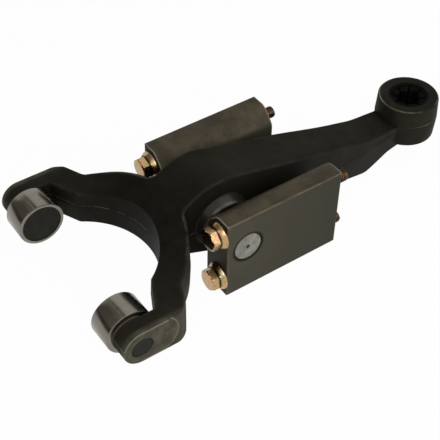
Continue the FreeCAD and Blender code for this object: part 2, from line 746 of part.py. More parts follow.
def roller(side_name, side):
    reach = ("-roller_reach", "0", "-roller_drop")
    outer_end = "(roller_inner + roller_width)"
    race = "(stud_radius + 2 * roller_needle_radius + running_gap)"
    sleeve = new_body(side_name + "_roller", *reach)
    pocket = "(roller_inner + roller_pocket_depth)"
    corners = [("roller_pocket_radius", "roller_inner"), ("roller_radius - roller_bevel", "roller_inner"),
               ("roller_radius", "roller_inner + roller_bevel"),
               ("roller_radius", outer_end + " - roller_bevel"),
               ("roller_radius - roller_bevel", outer_end), (race, outer_end), (race, pocket),
               ("roller_pocket_radius", pocket)]
    if side < 0:
        corners = [(radius, "-(%s)" % y) for radius, y in reversed(corners)]
    revolve(sleeve, sleeve.Name + "_sleeve", "XY_Plane", corners)
    pieces.append(sleeve)

    stud = new_body(side_name + "_roller_stud", *reach)
    head = "(%s - side_gap)" % pocket
    end = "(prong_pad - stud_end_recess)"
    corners = [("0", head + " - stud_head_thickness"),
               ("roller_pocket_radius - stud_head_gap", head + " - stud_head_thickness"),
               ("roller_pocket_radius - stud_head_gap", head), ("stud_radius", head),
               ("stud_radius", end + " - stud_bevel"), ("stud_radius - stud_bevel", end), ("0", end)]
    if side < 0:
        corners = [(radius, "-(%s)" % y) for radius, y in reversed(corners)]
    revolve(stud, stud.Name + "_bar", "XY_Plane", corners)
    pieces.append(stud)

    washer = new_body(side_name + "_roller_washer", *reach)
    ring(washer, washer.Name + "_ring", "stud_radius + running_gap", "roller_washer_radius",
         "%d * (prong_inner - running_gap)" % side,
         "%d * (prong_inner - running_gap - roller_washer_thickness)" % side)
    pieces.append(washer)
    needle_set(side_name + "_roller_needles", "-roller_reach",
               "%d * (%s + %s) / 2" % (side, pocket, outer_end), "-roller_drop",
               "roller_width - roller_pocket_depth - 2 * side_gap", "roller_needle_radius - running_gap / 2",
               "stud_radius + running_gap / 2 + roller_needle_radius")


# eye bush: steel sleeve with a slotted spring insert

def eye_bush():
    bottom = "eye_top - eye_height + sleeve_recess"
    sleeve = new_body("eye_sleeve", "eye_reach")
    inner = "eye_bore_radius - press_gap - sleeve_wall"
    corners = [(inner, bottom), ("eye_bore_radius - press_gap", bottom),
               ("eye_bore_radius - press_gap", "eye_top - sleeve_recess"), (inner, "eye_top - sleeve_recess")]
    revolve(sleeve, "eye_sleeve_ring", "XZ_Plane", corners)
    pieces.append(sleeve)

    insert = new_body("eye_insert", "eye_reach")
    outer = inner + " - insert_gap"
    top = "eye_top - insert_recess"
    corners = [("insert_bore_radius", bottom), (outer, bottom), (outer, top),
               ("insert_bore_radius + insert_mouth_bevel", top),
               ("insert_bore_radius", top + " - insert_mouth_bevel")]
    revolve(insert, "eye_insert_ring", "XZ_Plane", corners)
    before = insert.Shape.Volume
    slot = sketch_on(insert, "XY_Plane", "eye_insert_slot", ("0", "0", top))
    outline(slot, [("0", "-slot_width / 2"), ("eye_bore_radius", "-slot_width / 2"),
                   ("eye_bore_radius", "slot_width / 2"), ("0", "slot_width / 2")])
    cut = insert.newObject("PartDesign::Pocket", "eye_insert_slot_cut")
    cut.Profile = slot
    cut.setExpression("Length", linked("slot_depth"))
    finish_feature(insert, cut)
    pattern = insert.newObject("PartDesign::PolarPattern", "eye_insert_slots")
    pattern.Originals = [cut]
    axis = [item for item in insert.Origin.OriginFeatures if item.Role == "Z_Axis"][0]
    pattern.Axis = (axis, [""])
    pattern.Angle = 360
    pattern.Occurrences = INSERT_SLOTS
    finish_feature(insert, pattern)
    if insert.Shape.Volume >= before:
        raise RuntimeError("the insert's slots cut nothing")
    pieces.append(insert)


fork_lever()
pivot_shaft()
for side_name, side in SIDES.items():
    bearing_block(side_name, side)
    for level in ("upper", "lower"):
        flange_bolt(side_name, side, level)
    hub_bearing(side_name, side)
    roller(side_name, side)
eye_bush()

doc.recompute()
for item in doc.Objects:
    if "Invalid" in item.State or "Error" in item.State:
        raise RuntimeError("%s did not compute: %s" % (item.Label, item.State))
for piece in pieces:
    if piece.Shape.isNull() or not piece.Shape.isValid():
        raise RuntimeError("%s has no valid shape" % piece.Label)
for piece in pieces:
    piece.Shape.exportStep("parts/%s.step" % piece.Label)
    print("%-26s %2d solids %10.0f mm3" % (piece.Label, len(piece.Shape.Solids), piece.Shape.Volume))
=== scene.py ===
import math
import bpy
import bmesh
from mathutils import Matrix, Vector


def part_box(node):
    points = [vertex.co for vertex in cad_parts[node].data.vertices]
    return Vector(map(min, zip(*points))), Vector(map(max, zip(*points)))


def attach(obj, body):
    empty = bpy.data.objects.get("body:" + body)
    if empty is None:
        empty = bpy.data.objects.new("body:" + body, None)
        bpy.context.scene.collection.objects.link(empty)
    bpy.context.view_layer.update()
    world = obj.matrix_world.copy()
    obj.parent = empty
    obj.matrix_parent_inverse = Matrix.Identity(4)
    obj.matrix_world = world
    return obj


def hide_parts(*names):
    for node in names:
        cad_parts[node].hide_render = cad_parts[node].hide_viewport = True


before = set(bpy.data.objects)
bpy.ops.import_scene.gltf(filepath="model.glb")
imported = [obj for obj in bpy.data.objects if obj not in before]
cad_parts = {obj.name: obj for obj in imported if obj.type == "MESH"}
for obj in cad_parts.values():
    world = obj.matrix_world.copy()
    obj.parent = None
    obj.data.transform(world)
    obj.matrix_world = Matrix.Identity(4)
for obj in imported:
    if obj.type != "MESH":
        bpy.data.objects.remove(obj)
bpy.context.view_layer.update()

# Fork lever
# One steel forging, blasted and left dark under a film of oil, with edges painted bright as rubbing and as highlight.
# Its hub, its eye and the outer faces of its prongs are machined, and stay a little brighter.
fork_dark = (0.0050, 0.0047, 0.0030)
fork_pale = (0.0105, 0.0096, 0.0064)
fork_sheen_pale = (0.0215, 0.0185, 0.0130)
rubbed_edge_and_highlight = (0.110, 0.100, 0.074)
machined_steel = (0.075, 0.068, 0.048)
milled_dark = (0.045, 0.040, 0.028)
milled_pale = (0.105, 0.095, 0.070)
milled_aside = (0.050, 0.045, 0.031)
turned_hub = (0.058, 0.054, 0.043)
scored_steel = (0.17, 0.155, 0.115)


def new_material(name):
    """A new material with its nodes, its links and its shader."""
    material = bpy.data.materials.new(name)
    material.use_nodes = True
    nodes = material.node_tree.nodes
    return material, nodes, material.node_tree.links, nodes["Principled BSDF"]


def speckle(nodes, links, scale, detail=2.0, rough=0.5, stretch=(1, 1, 1)):
    """Noise in the object's own coordinates, as a factor from 0 to 1."""
    place = nodes.new("ShaderNodeTexCoord")
    turn = nodes.new("ShaderNodeMapping")
    turn.inputs["Scale"].default_value = stretch
    noise = nodes.new("ShaderNodeTexNoise")
    noise.inputs["Scale"].default_value = scale
    noise.inputs["Detail"].default_value = detail
    noise.inputs["Roughness"].default_value = rough
    links.new(place.outputs["Object"], turn.inputs["Vector"])
    links.new(turn.outputs["Vector"], noise.inputs["Vector"])
    return noise.outputs["Fac"]


def ramp(nodes, links, factor, stops):
    """Colour ramp from (place, colour) stops."""
    node = nodes.new("ShaderNodeValToRGB")
    elements = node.color_ramp.elements
    while len(elements) < len(stops):
        elements.new(0.5)
    for element, (place, colour) in zip(elements, stops):
        element.position = place
        element.color = (*colour, 1.0)
    links.new(factor, node.inputs["Fac"])
    return node.outputs["Color"]


def two_tone(nodes, links, shader, factor, dark, pale, low=0.3, high=0.7):
    """Base colour that runs from dark to pale as the factor goes from low to high."""
    links.new(ramp(nodes, links, factor, [(low, dark), (high, pale)]), shader.inputs["Base Color"])


def blend(nodes, links, factor, first, second):
    """Mixes two colours, each of them a socket or three numbers."""
    node = nodes.new("ShaderNodeMix")
    node.data_type = "RGBA"
    links.new(factor, node.inputs[0])
    for socket, colour in ((node.inputs[6], first), (node.inputs[7], second)):
        if isinstance(colour, tuple):
            socket.default_value = (*colour, 1.0)
        else:
            links.new(colour, socket)
    return node.outputs[2]


def reckon(nodes, links, kind, first, second=None, third=None):
    """One step of arithmetic on sockets or numbers."""
    node = nodes.new("ShaderNodeMath")
    node.operation = kind
    for socket, number in zip(node.inputs, (first, second, third)):
        if number is None:
            continue
        if isinstance(number, (int, float)):
            socket.default_value = number
        else:
            links.new(number, socket)
    return node.outputs[0]


def step_up(nodes, links, number, low, high):
    """0 below the first limit, 1 above the second, and even between them."""
    node = nodes.new("ShaderNodeMapRange")
    links.new(number, node.inputs["Value"])
    node.inputs["From Min"].default_value = low
    node.inputs["From Max"].default_value = high
    return node.outputs["Result"]


def distance_from(nodes, links, first, second):
    """Distance from an axis, from two pairs of a coordinate and the axis's place along it."""
    squares = [reckon(nodes, links, "POWER", reckon(nodes, links, "SUBTRACT", *pair), 2.0) for pair in (first, second)]
    return reckon(nodes, links, "SQRT", reckon(nodes, links, "ADD", *squares))


def thin_line(nodes, links, number, middle, half_width):
    """1 where the number is within half a width of the middle."""
    return reckon(nodes, links, "COMPARE", number, middle, half_width)


def bump(nodes, links, shader, height, strength, distance):
    """Raises the surface by a height socket, at most by the distance."""
    node = nodes.new("ShaderNodeBump")
    node.inputs["Strength"].default_value = strength
    node.inputs["Distance"].default_value = distance
    links.new(height, node.inputs["Height"])
    links.new(node.outputs["Normal"], shader.inputs["Normal"])


def nearness(nodes, links, distance, inside):
    """How open the surface is: below 1 in corners, or from inside on outer edges."""
    open_part = nodes.new("ShaderNodeAmbientOcclusion")
    open_part.samples = 8
    open_part.inside = inside
    open_part.only_local = inside
    open_part.inputs["Distance"].default_value = distance
    return open_part.outputs["AO"]


def edge_rub_and_highlight(nodes, links, width, low, high, patchy_scale, spared):
    """1 on the outer edges, painted bright both as handling wear and as a highlight, and less where it is patchy."""
    sharp = step_up(nodes, links, reckon(nodes, links, "SUBTRACT", 1.0, nearness(nodes, links, width, True)), low, high)
    patch_edge = 0.22
    patches = step_up(nodes, links, speckle(nodes, links, patchy_scale, 4, 0.7), spared, spared + patch_edge)
    return reckon(nodes, links, "MULTIPLY", sharp, patches)


def dress(node_name, material):
    """Gives a CAD node its material."""
    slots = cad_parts[node_name].data.materials
    slots.clear()
    slots.append(material)


def coordinates(nodes, links):
    """The three coordinates of the object's own frame, as sockets."""
    place = nodes.new("ShaderNodeTexCoord")
    split = nodes.new("ShaderNodeSeparateXYZ")
    links.new(place.outputs["Object"], split.inputs["Vector"])
    return split.outputs["X"], split.outputs["Y"], split.outputs["Z"]


pivot_x, pivot_z, hub_radius, hub_end = -0.0508, 0.043, 0.0245, 0.0190
pad_middle_x, pad_middle_z, pad_radius = -0.1508, 0.0428, 0.0160
pad_begins, pad_face, pad_edge = 0.0850, 0.0893, 0.0905
bush_edge, eye_rim_radius, eye_rim_low = 0.019, 0.0243, 0.0560
parting_z, arm_middle_x, flash_begins = 0.043, 0.032, 0.105
sheen_x, sheen_y = (-0.095, -0.035), (0.035, 0.085)
line_width, soft_edge = 0.0004, 0.0006
forging, nodes, links, shader = new_material("blasted_forging")
x, y, z = coordinates(nodes, links)
aside = reckon(nodes, links, "ABSOLUTE", y)
eye_low, eye_high = (Vector(corner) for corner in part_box("eye_sleeve"))
eye_middle = (eye_low + eye_high) / 2
from_eye = distance_from(nodes, links, (x, eye_middle.x), (y, eye_middle.y))

# The blasted skin is paler on the arm and the prongs as a painted sheen, darker in the corners as painted shade, and
# bright on the edges as rubbing and painted highlight.
grain_and_sheen = ramp(nodes, links, speckle(nodes, links, 70, 5, 0.6), [(0.32, fork_dark), (0.68, fork_pale)])
# Painted sheen: the arm and the outer parts of the prongs are made paler than the yoke.
painted_sheen = reckon(nodes, links, "MAXIMUM", step_up(nodes, links, x, *sheen_x),
                 step_up(nodes, links, aside, *sheen_y))
grain_and_sheen = blend(nodes, links, painted_sheen, grain_and_sheen, ramp(nodes, links, speckle(nodes, links, 45, 5, 0.6),
                                                 [(0.32, fork_pale), (0.66, fork_sheen_pale)]))
# Bright edges: partly rubbed wear, partly a painted highlight.
rub_and_highlight = edge_rub_and_highlight(nodes, links, width=0.0040, low=0.34, high=0.48, patchy_scale=55, spared=0.36)
rub_and_highlight = reckon(nodes, links, "MULTIPLY", rub_and_highlight, step_up(nodes, links, from_eye, bush_edge, bush_edge + 0.003))
# Painted shade: the skin falls to the dark tone in corners and hollows.
free_of_painted_shade = step_up(nodes, links, nearness(nodes, links, distance=0.025, inside=False), 0.25, 0.85)
coat = blend(nodes, links, rub_and_highlight, blend(nodes, links, free_of_painted_shade, fork_dark, grain_and_sheen), rubbed_edge_and_highlight)

# The hub's ends are turned, and the pads on the prongs' outer faces are milled to a round line about the stud.
in_hub = reckon(nodes, links, "LESS_THAN", distance_from(nodes, links, (x, pivot_x), (z, pivot_z)), hub_radius)
on_hub = reckon(nodes, links, "MULTIPLY", in_hub, step_up(nodes, links, aside, hub_end, hub_end + soft_edge))
on_pad = step_up(nodes, links, aside, pad_begins, pad_begins + 0.0040)
pad_reach = reckon(nodes, links, "MAXIMUM", reckon(nodes, links, "SUBTRACT", x, pad_middle_x), 0.0)
from_pad = distance_from(nodes, links, (pad_reach, 0.0), (z, pad_middle_z))
tool_marks = ramp(nodes, links, speckle(nodes, links, 130, 4, 0.6),
                  [(0.3, milled_dark), (0.55, machined_steel), (0.75, milled_pale)])
tool_marks = blend(nodes, links, step_up(nodes, links, from_pad, pad_radius, pad_radius + 0.002), tool_marks,
                   milled_aside)
tool_marks = blend(nodes, links, on_hub, tool_marks, turned_hub)
cut_face = reckon(nodes, links, "MAXIMUM", on_hub, on_pad)

# Bright lines are left round each pad, along the parting of the dies at both ends, and round the eye's top.
pad_line = thin_line(nodes, links, from_pad, pad_radius, line_width)
pad_line = reckon(nodes, links, "MULTIPLY", pad_line, step_up(nodes, links, aside, pad_face, pad_face + line_width))
pad_rim = reckon(nodes, links, "MULTIPLY", thin_line(nodes, links, aside, pad_edge, line_width),
                 reckon(nodes, links, "LESS_THAN", x, pad_middle_x + 0.008))
pad_line = reckon(nodes, links, "MULTIPLY", reckon(nodes, links, "MAXIMUM", pad_line, pad_rim),
                  step_up(nodes, links, speckle(nodes, links, 120, 4, 0.7), 0.25, 0.55))
away_from_arm = reckon(nodes, links, "ABSOLUTE", reckon(nodes, links, "SUBTRACT", x, arm_middle_x))
flash_line = reckon(nodes, links, "MULTIPLY", thin_line(nodes, links, z, parting_z, 0.00035),
                    step_up(nodes, links, away_from_arm, flash_begins, flash_begins + 0.007))
flash_line = reckon(nodes, links, "MULTIPLY", flash_line,
                    step_up(nodes, links, speckle(nodes, links, 60, 4, 0.7), 0.42, 0.75))
eye_rim = reckon(nodes, links, "MULTIPLY", thin_line(nodes, links, from_eye, eye_rim_radius, soft_edge),
                 step_up(nodes, links, z, eye_rim_low, eye_rim_low + soft_edge))
eye_rim = reckon(nodes, links, "MULTIPLY", eye_rim,
                 step_up(nodes, links, speckle(nodes, links, 35, 3, 0.6), 0.45, 0.70))
scored = reckon(nodes, links, "MAXIMUM", pad_line, reckon(nodes, links, "MAXIMUM", flash_line, eye_rim))

skin = blend(nodes, links, cut_face, coat, tool_marks)
links.new(blend(nodes, links, scored, skin, scored_steel), shader.inputs["Base Color"])
links.new(reckon(nodes, links, "MULTIPLY_ADD", on_hub, 0.8, reckon(nodes, links, "MULTIPLY", on_pad, 0.25)),
          shader.inputs["Metallic"])
links.new(reckon(nodes, links, "MULTIPLY_ADD", on_hub, -0.30, 0.58), shader.inputs["Roughness"])
shader.inputs["Specular IOR Level"].default_value = 0.05
bump(nodes, links, shader, speckle(nodes, links, 850, 3), strength=0.30, distance=0.0004)
dress("fork_lever", forging)

# Pivot shaft
# Ground steel bar, locked in the blocks by a groove that the upper bolts pass through.
# Each end is turned, with fine rings about its centre hole, and the hole and the outer rim are painted dark as shade.
turned, nodes, links, shader = new_material("turned_shaft_end")
ring_frequency, centre_hole, rim_begins = 9000.0, 0.0010, 0.0112
shaft_soiled, shaft_clean = (0.150, 0.142, 0.118), (0.27, 0.26, 0.23)
punch_shade, rim_shade = (0.02, 0.017, 0.012), (0.035, 0.032, 0.024)
x, _, z = coordinates(nodes, links)
from_axis = distance_from(nodes, links, (x, pivot_x), (z, pivot_z))
rings = reckon(nodes, links, "SINE", reckon(nodes, links, "MULTIPLY", from_axis, ring_frequency))
cleaned = step_up(nodes, links, speckle(nodes, links, 140, 4, 0.6), 0.35, 0.7)
face = ramp(nodes, links, cleaned, [(0.0, shaft_soiled), (1.0, shaft_clean)])
# Painted shade: the centre hole and the outer rim are made dark.
face = blend(nodes, links, step_up(nodes, links, from_axis, centre_hole, centre_hole + 0.0014), punch_shade, face)
rim = step_up(nodes, links, from_axis, rim_begins, rim_begins + 0.0010)
links.new(blend(nodes, links, rim, face, rim_shade), shader.inputs["Base Color"])
shader.inputs["Metallic"].default_value = 0.75
shader.inputs["Roughness"].default_value = 0.42
bump(nodes, links, shader, rings, strength=0.12, distance=0.00006)
dress("pivot_shaft", turned)

# Bearing blocks
# Two lengths of steel bar with a broad bevel along the upper inner edge, drilled for the bolts.
# They are phosphated an olive grey, browner on top, with painted shade towards the far end and on the end faces that
# look along -x, and their edges are painted bright as rubbed bare steel and as highlight.
phosphate = [(0.3, (0.047, 0.043, 0.029)), (0.5, (0.055, 0.050, 0.034)), (0.72, (0.064, 0.058, 0.041))]
brown_tones = [(0.35, (0.048, 0.040, 0.026)), (0.65, (0.082, 0.068, 0.044))]
far_shade_tone, end_face_shade = (0.034, 0.032, 0.021), (0.026, 0.022, 0.014)
bare_edge_and_highlight, hole_shade = (0.24, 0.215, 0.165), (0.012, 0.011, 0.008)
block_near, block_far, shaft_hole = -0.075, 0.035, 0.0136
sawn, nodes, links, shader = new_material("phosphated_block")
x, _, z = coordinates(nodes, links)
surface = nodes.new("ShaderNodeNewGeometry")
lean = nodes.new("ShaderNodeSeparateXYZ")
links.new(surface.outputs["True Normal"], lean.inputs["Vector"])
face = ramp(nodes, links, speckle(nodes, links, 26, 5, 0.55), phosphate)
# Painted shade: the blocks grow darker towards the far end.
face = blend(nodes, links, step_up(nodes, links, x, block_near, block_far), face, far_shade_tone)
# Painted shade: faces that look along -x are made darker.
face = blend(nodes, links, step_up(nodes, links, lean.outputs["X"], -0.8, -0.3), end_face_shade, face)
face = blend(nodes, links, step_up(nodes, links, lean.outputs["Z"], 0.25, 0.6), face,
             ramp(nodes, links, speckle(nodes, links, 60, 4, 0.6), brown_tones))
from_axis = distance_from(nodes, links, (x, pivot_x), (z, pivot_z))
around_shaft = step_up(nodes, links, from_axis, shaft_hole, shaft_hole + 0.0010)
# Bright edges: partly rubbed bare steel, partly a painted highlight.
rub_and_highlight = edge_rub_and_highlight(nodes, links, width=0.0014, low=0.14, high=0.26, patchy_scale=45, spared=0.30)
rub_and_highlight = reckon(nodes, links, "MULTIPLY", rub_and_highlight, around_shaft)
face = blend(nodes, links, rub_and_highlight, face, bare_edge_and_highlight)
links.new(blend(nodes, links, around_shaft, hole_shade, face), shader.inputs["Base Color"])
shader.inputs["Roughness"].default_value = 0.55
shader.inputs["Specular IOR Level"].default_value = 0.09
bump(nodes, links, shader, speckle(nodes, links, 620, 3), strength=0.18, distance=0.0003)
for side in ("front", "rear"):
    dress(side + "_bearing_block", sawn)

# Flange bolts
# Four cold headed bolts: a hexagon with a turned crown on a coned flange, and a rolled thread at the tip.
# Their yellow zinc plate shifts from gold to pink and pale green, and is worn brown on the threads; painted shade
# darkens the corners and a line where the hexagon meets the flange.
bolt_sides, steps_in_turn = 96, 10
flats, flange, shank, thread = 0.0160, 0.0112, 0.0050, 0.0049
head_height, flange_edge, block_length, pitch = 0.0114, 0.0012, 0.105, 0.0015
thread_depth, lead_in, tip_centre, crown_dimple = 0.0008, 0.0012, 0.0018, 0.0045
crest_slope, crest_fill, lead_slope = 2.6, 1.35, 0.7
flange_chamfer, thread_step = 0.0004, 0.0002
crown = ((0.0, -0.0011), (0.0002, -0.0002), (0.0007, 0.0006), (0.0013, 0.0014))
hexagon_end, groove, cone_top = -0.0060, (-0.0051, 0.00005), (-0.0044, 0.0091)
cone = ((-0.0030, 0.0101), (-0.0016, 0.0110))


def hexagon(angle):
    """Distance from the bolt's axis to the hexagon, seen at an angle."""
    return flats / 2 / math.cos((angle + math.pi / 6) % (math.pi / 3) - math.pi / 6)


def bridged(name, rings, closed, degrees):
    """Mesh from rings of points: the last joins the first or both are capped, and it is smooth up to an angle."""
    builder = bmesh.new()
    rings = [[builder.verts.new(point) for point in ring] for ring in rings]
    for near, far in zip(rings, rings[1:] + rings[:1] if closed else rings[1:]):
        for index in range(len(near)):
            after = (index + 1) % len(near)
            builder.faces.new((near[index], near[after], far[after], far[index]))
    if not closed:
        builder.faces.new(list(reversed(rings[0])))
        builder.faces.new(rings[-1])
    bmesh.ops.recalc_face_normals(builder, faces=builder.faces)
    mesh = bpy.data.meshes.new(name)
    builder.to_mesh(mesh)
    builder.free()
    mesh.shade_smooth()
    mesh.set_sharp_from_angle(angle=math.radians(degrees))
    return mesh


def bolt_mesh(name, length):
    """One bolt along x with its head below zero, from rows of a place along it and a radius at each angle."""
    rows = [(-head_height, lambda a: crown_dimple)]
    for rise, past_flats in crown:
        rows.append((rise - head_height, lambda a, limit=flats / 2 + past_flats: min(hexagon(a), limit)))
    rows += [(hexagon_end, hexagon), (groove[0], lambda a: hexagon(a) + groove[1]),
             (cone_top[0], lambda a: max(hexagon(a), cone_top[1]))]
    for along, radius in (*cone, (-flange_edge, flange), (-flange_chamfer, flange), (0.0, flange - flange_chamfer),
                          (0.0, shank), (block_length - thread_step, shank), (block_length, thread - thread_depth)):
        rows.append((along, lambda a, radius=radius: radius))
    tip = length - block_length
    steps = round(tip / pitch * steps_in_turn)
    for step in range(1, steps + 1):
        along = tip * step / steps
        end = max(0.0, along - (tip - lead_in))

        def rolled(a, along=along, end=end):
            turn = (along / pitch - a / (2 * math.pi)) % 1.0
            crest = 1.0 - min(1.0, abs(turn - 0.5) * crest_slope)
            return thread - thread_depth + thread_depth * min(1.0, crest_fill * crest) - lead_slope * end
        rows.append((block_length + along, rolled))
    rows.append((length, lambda a: tip_centre))
    angles = [2 * math.pi * index / bolt_sides for index in range(bolt_sides)]
    rings = [[(along, radius(angle) * math.cos(angle), radius(angle) * math.sin(angle)) for angle in angles]
             for along, radius in rows]
    return bridged(name, rings, closed=False, degrees=32)


def bolt_pair_tree():
    """Sets one bolt on each side of the middle, each turned by its own angle."""
    tree = bpy.data.node_groups.new("bolt_pair", "GeometryNodeTree")
    tree.interface.new_socket("Geometry", in_out="OUTPUT", socket_type="NodeSocketGeometry")
    for name, kind in (("Bolt", "NodeSocketObject"), ("Place", "NodeSocketVector"), ("Spacing", "NodeSocketFloat"),
                       ("First Turn", "NodeSocketFloat"), ("Next Turn", "NodeSocketFloat"),
                       ("Plate", "NodeSocketMaterial")):
        tree.interface.new_socket(name, in_out="INPUT", socket_type=kind)
    nodes, links = tree.nodes, tree.links
    given = nodes.new("NodeGroupInput")
    result = nodes.new("NodeGroupOutput")
    row = nodes.new("GeometryNodeMeshLine")
    row.inputs["Count"].default_value = 2
    offset = nodes.new("ShaderNodeCombineXYZ")
    links.new(given.outputs["Spacing"], offset.inputs["Y"])
    links.new(given.outputs["Place"], row.inputs["Start Location"])
    links.new(offset.outputs[0], row.inputs["Offset"])
    bolt = nodes.new("GeometryNodeObjectInfo")
    links.new(given.outputs["Bolt"], bolt.inputs["Object"])
    number = nodes.new("GeometryNodeInputIndex")
    turn = nodes.new("ShaderNodeMath")
    turn.operation = "MULTIPLY_ADD"
    links.new(number.outputs[0], turn.inputs[0])
    links.new(given.outputs["Next Turn"], turn.inputs[1])
    links.new(given.outputs["First Turn"], turn.inputs[2])
    about = nodes.new("ShaderNodeCombineXYZ")
    links.new(turn.outputs[0], about.inputs["X"])
    spread = nodes.new("GeometryNodeInstanceOnPoints")
    links.new(row.outputs["Mesh"], spread.inputs["Points"])
    links.new(bolt.outputs["Geometry"], spread.inputs["Instance"])
    links.new(about.outputs[0], spread.inputs["Rotation"])
    real = nodes.new("GeometryNodeRealizeInstances")
    links.new(spread.outputs["Instances"], real.inputs["Geometry"])
    finish = nodes.new("GeometryNodeSetMaterial")
    links.new(real.outputs["Geometry"], finish.inputs["Geometry"])
    links.new(given.outputs["Plate"], finish.inputs["Material"])
    links.new(finish.outputs["Geometry"], result.inputs["Geometry"])
    return tree


zinc_tones = [(0.30, (0.30, 0.32, 0.21)), (0.42, (0.44, 0.33, 0.14)), (0.52, (0.52, 0.33, 0.16)),
              (0.60, (0.55, 0.27, 0.18)), (0.72, (0.38, 0.36, 0.22))]
worn_zinc, brown_thread, bolt_shade_tone = (0.30, 0.20, 0.11), (0.20, 0.125, 0.075), (0.055, 0.026, 0.010)
thread_begins, shade_line_below_seat = 0.0352, 0.0050
plate, nodes, links, shader = new_material("yellow_zinc")
x = coordinates(nodes, links)[0]
tint = ramp(nodes, links, speckle(nodes, links, 150, 3, 0.55, (0.7, 1, 1)), zinc_tones)
worn = step_up(nodes, links, speckle(nodes, links, 420, 4, 0.7), 0.52, 0.70)
tint = blend(nodes, links, worn, tint, worn_zinc)
on_tip = step_up(nodes, links, x, thread_begins, thread_begins + soft_edge)
tint = blend(nodes, links, on_tip, tint, brown_thread)
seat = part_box("front_upper_bolt")[0][0] + head_height
# Painted shade: a dark brown tone in the corners and in a line where the hexagon meets the flange.
free_of_bolt_shade = step_up(nodes, links, nearness(nodes, links, distance=0.004, inside=False), 0.50, 0.92)
from_shade_line = reckon(nodes, links, "ABSOLUTE", reckon(nodes, links, "SUBTRACT", x, seat - shade_line_below_seat))
free_of_bolt_shade = reckon(nodes, links, "MULTIPLY", free_of_bolt_shade, step_up(nodes, links, from_shade_line, 0.0004, 0.0010))
links.new(blend(nodes, links, free_of_bolt_shade, bolt_shade_tone, tint), shader.inputs["Base Color"])
shader.inputs["Metallic"].default_value = 1.0
shader.inputs["Roughness"].default_value = 0.27
bump(nodes, links, shader, speckle(nodes, links, 500, 2), strength=0.08, distance=0.0002)

pair = bolt_pair_tree()
input_names = {item.name: item.identifier for item in pair.interface.items_tree if item.in_out == "INPUT"}
for level, length, first_turn, next_turn in (("upper", 0.1174, 0.30, 0.5), ("lower", 0.1144, -0.14, 0.4)):
    low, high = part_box("front_%s_bolt" % level)
    other_low, other_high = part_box("rear_%s_bolt" % level)
    single = bpy.data.objects.new(level + "_bolt_pattern", bolt_mesh(level + "_bolt_pattern", length))
    carrier = bpy.data.objects.new(level + "_bolt_carrier", bpy.data.meshes.new(level + "_bolt_carrier"))
    bpy.context.scene.collection.objects.link(single)
    bpy.context.scene.collection.objects.link(carrier)
    modifier = carrier.modifiers.new("bolt_pair", "NODES")
    modifier.node_group = pair
    modifier[input_names["Bolt"]] = single
    modifier[input_names["Place"]] = (low[0] + head_height, (low[1] + high[1]) / 2, (low[2] + high[2]) / 2)
    modifier[input_names["Spacing"]] = (other_low[1] + other_high[1] - low[1] - high[1]) / 2
    modifier[input_names["First Turn"]] = first_turn
    modifier[input_names["Next Turn"]] = next_turn
    modifier[input_names["Plate"]] = plate
    graph = bpy.context.evaluated_depsgraph_get()
    made = bpy.data.meshes.new_from_object(carrier.evaluated_get(graph))
    carrier.modifiers.remove(modifier)
    pieces = bpy.data.objects.new(level + "_flange_bolts", made)
    bpy.context.scene.collection.objects.link(pieces)
    bpy.data.objects.remove(single)
    bpy.data.objects.remove(carrier)
    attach(pieces, "blocks_and_shaft")
    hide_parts("front_%s_bolt" % level, "rear_%s_bolt" % level)

# Rollers
# Hardened steel sleeves, ground and polished, with a recess for the stud's head.
# Their ends have a narrow bright bevel, and fine grinding lines run round them.
roller_sides = 160
radius, bevel, pocket, depth, race = 0.0187, 0.0009, 0.0160, 0.0032, 0.01155
bevel_turn, pocket_lip = 0.3, 0.0004
polished, nodes, links, shader = new_material("polished_roller")
lines = speckle(nodes, links, 260, 4, 0.6, (0.15, 14, 0.15))
two_tone(nodes, links, shader, lines, (0.165, 0.152, 0.124), (0.235, 0.218, 0.182))
links.new(reckon(nodes, links, "MULTIPLY_ADD", lines, 0.14, 0.17), shader.inputs["Roughness"])
shader.inputs["Metallic"].default_value = 1.0
bump(nodes, links, shader, lines, strength=0.05, distance=0.0001)


def turned_ring(name, centre, profile):
    """Closed ring about a line along y, from (radius, y) corners that run round its section."""
    angles = [2 * math.pi * index / roller_sides for index in range(roller_sides)]
    rings = [[(centre.x + reach * math.cos(angle), along, centre.z + reach * math.sin(angle)) for angle in angles]
             for reach, along in profile]
    return bridged(name, rings, closed=True, degrees=40)


for side, sign in (("front", -1), ("rear", 1)):
    low, high = (Vector(corner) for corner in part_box(side + "_roller"))
    inner, outer = (low.y, high.y) if sign > 0 else (high.y, low.y)
    profile = [(pocket, inner), (pocket + pocket_lip, inner), (radius - bevel, inner),
               (radius - bevel * bevel_turn, inner + sign * bevel * bevel_turn), (radius, inner + sign * bevel),
               (radius, outer - sign * bevel), (radius - bevel * bevel_turn, outer - sign * bevel * bevel_turn),
               (radius - bevel, outer), (race, outer), (race, inner + sign * depth), (pocket, inner + sign * depth)]
    sleeve = bpy.data.objects.new(side + "_polished_roller",
                                  turned_ring(side + "_polished_roller", (low + high) / 2, profile))
    bpy.context.scene.collection.objects.link(sleeve)
    sleeve.data.materials.append(polished)
    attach(sleeve, side + "_roller")
    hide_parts(side + "_roller")

